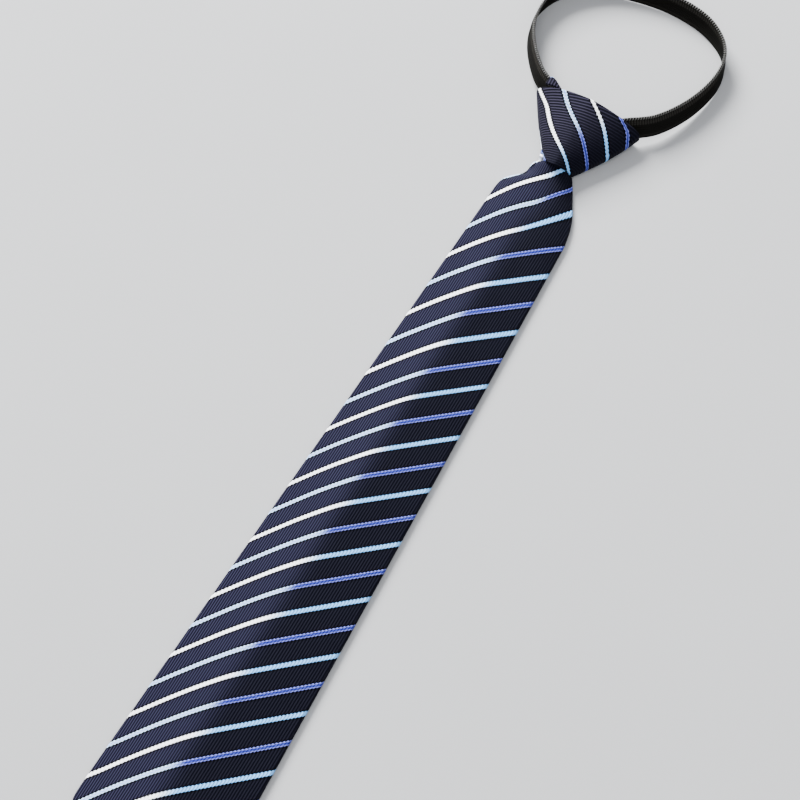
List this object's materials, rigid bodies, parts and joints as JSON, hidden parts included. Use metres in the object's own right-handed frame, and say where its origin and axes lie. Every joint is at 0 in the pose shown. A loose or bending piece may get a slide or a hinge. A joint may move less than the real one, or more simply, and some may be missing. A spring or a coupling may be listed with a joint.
{
  "type": "zipper tie",
  "caption": "Ready-tied necktie: a diagonally striped, ribbed cloth blade folded to the back, a wrapped tapered knot and a neck loop of black zip tape.",
  "frame": {"origin": "middle of the knot's flat back, on the surface that the tie lies on", "axes": "+X to the right of the tie's front, +Y from the blade's point up to the neck loop, +Z out of the front of the knot"},
  "size_m": [0.1121, 0.5927, 0.0225],
  "materials": {
    "striped_cloth": "ribbed satin weave, near-black navy with narrow diagonal white to pale-blue and periwinkle stripes",
    "zip_tape": "matt black woven tape",
    "zip_teeth": "black nylon coil",
    "knot_former": "moulded, hidden in the knot",
    "zip_slider": "plain metal, hidden in the knot"
  },
  "bodies": {
    "root": {"blade": "striped_cloth", "knot_wrap": "striped_cloth", "knot_fold": "striped_cloth", "knot_under_layer": "striped_cloth", "zip_tape": "zip_tape", "zip_coil": "zip_teeth", "knot_core": "knot_former", "zip_slider": "zip_slider", "zip_tail": "zip_tape"}
  },
  "joints": []
}
